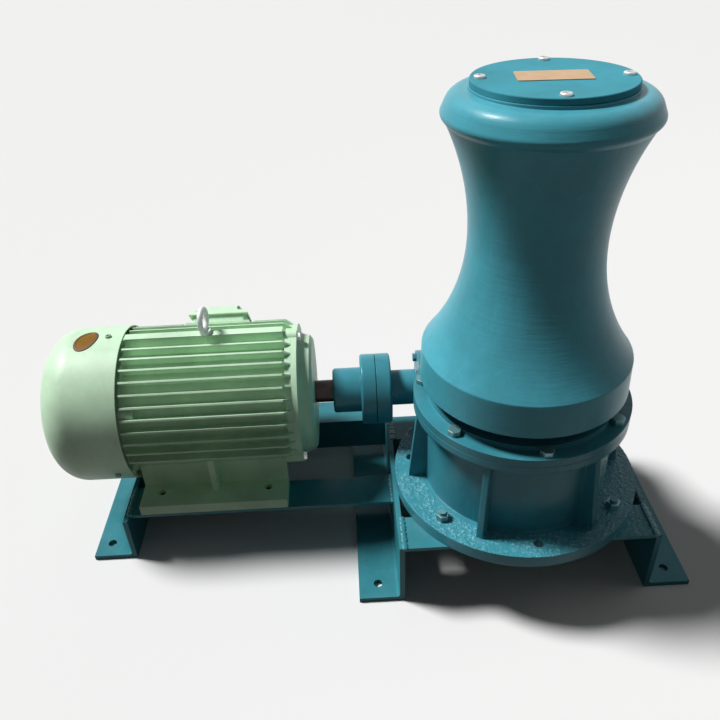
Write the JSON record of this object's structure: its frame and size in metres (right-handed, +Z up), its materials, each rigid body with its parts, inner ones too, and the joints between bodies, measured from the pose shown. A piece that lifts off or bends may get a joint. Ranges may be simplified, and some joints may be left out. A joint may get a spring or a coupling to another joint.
{
  "type": "electric capstan winch",
  "caption": "Upright waisted rope drum on a round worm-gear base, driven by a finned foot-mounted electric motor through a flange coupling, on a welded angle frame.",
  "frame": {"origin": "on the floor under the drum's axis, at the centre of the floor bolts under the gear base", "axes": "+X from the motor to the drum along the frame, +Y from the front to the motor's line at the back, +Z up along the drum's axis"},
  "size_m": [1.013, 0.4719, 0.7525],
  "materials": {
    "capstan_paint": "gloss enamel over rough casting",
    "frame_paint": "gloss enamel over rolled steel",
    "motor_paint": "semi-gloss enamel over casting and sheet",
    "fastener_zinc": "bright zinc plating",
    "shaft_steel": "turned, lightly tarnished",
    "bearing_steel": "ground",
    "core_steel": "stacked sheet",
    "winding_copper": "varnished copper",
    "cage_aluminium": "cast",
    "wheel_bronze": "cut bronze",
    "wheel_iron": "cast",
    "black_plastic": "moulded",
    "seal_rubber": "matt"
  },
  "bodies": {
    "frame": {"left_end_angle": "frame_paint", "middle_angle": "frame_paint", "right_end_angle": "frame_paint", "front_bed_rail": "frame_paint", "back_bed_rail": "frame_paint", "front_motor_rail": "frame_paint", "back_motor_rail": "frame_paint", "motor_frame": "motor_paint", "motor_feet": "motor_paint", "drive_end_shield": "motor_paint", "rear_end_shield": "motor_paint", "fan_cowl": "motor_paint", "terminal_box": "motor_paint", "terminal_box_lid": "motor_paint", "stator_core": "core_steel", "stator_windings": "winding_copper", "motor_bearing_outer_rings": "bearing_steel", "terminal_box_screws": "fastener_zinc", "cable_gland": "black_plastic", "lifting_eye": "fastener_zinc", "end_shield_bolts": "fastener_zinc", "cowl_screws": "fastener_zinc", "motor_foot_bolts": "fastener_zinc", "base_housing": "capstan_paint", "top_cover": "capstan_paint", "worm_cover_open": "capstan_paint", "worm_cover_blind": "capstan_paint", "cover_bolts": "fastener_zinc", "base_bolts": "fastener_zinc", "base_nuts": "fastener_zinc", "worm_cover_screws": "fastener_zinc", "shaft_seals": "seal_rubber", "worm_bearing_outer_rings": "bearing_steel", "main_bearing_outer_rings": "bearing_steel"},
    "input": {"motor_shaft": "shaft_steel", "coupling_motor_half": "capstan_paint", "coupling_worm_half": "capstan_paint", "coupling_bolts": "fastener_zinc", "rotor_core": "core_steel", "rotor_cage": "cage_aluminium", "cooling_fan": "black_plastic", "motor_bearing_inner_rings": "bearing_steel", "motor_bearing_balls": "bearing_steel", "coupling_keys": "shaft_steel", "worm_shaft": "shaft_steel", "worm_bearing_inner_rings": "bearing_steel", "worm_bearing_balls": "bearing_steel"},
    "drum": {"drum": "capstan_paint", "drum_cap": "capstan_paint", "cap_screws": "fastener_zinc", "main_shaft": "shaft_steel", "worm_wheel_rim": "wheel_bronze", "worm_wheel_hub": "wheel_iron", "shaft_keys": "shaft_steel", "drum_nut": "shaft_steel", "spacer_sleeve": "shaft_steel", "main_bearing_inner_rings": "bearing_steel", "main_bearing_balls": "bearing_steel"}
  },
  "joints": [
    {"name": "drum_spin", "type": "hinge", "parent": "frame", "child": "drum", "pos_m": [0, 0, 0], "axis": [0, 0, 1], "continuous": true},
    {"name": "input_spin", "type": "hinge", "parent": "frame", "child": "input", "pos_m": [0, 0.125, 0.217], "axis": [1, 0, 0], "continuous": true}
  ],
  "couplings": [
    {"joint": "input_spin", "follows": "drum_spin", "ratio": 40}
  ]
}
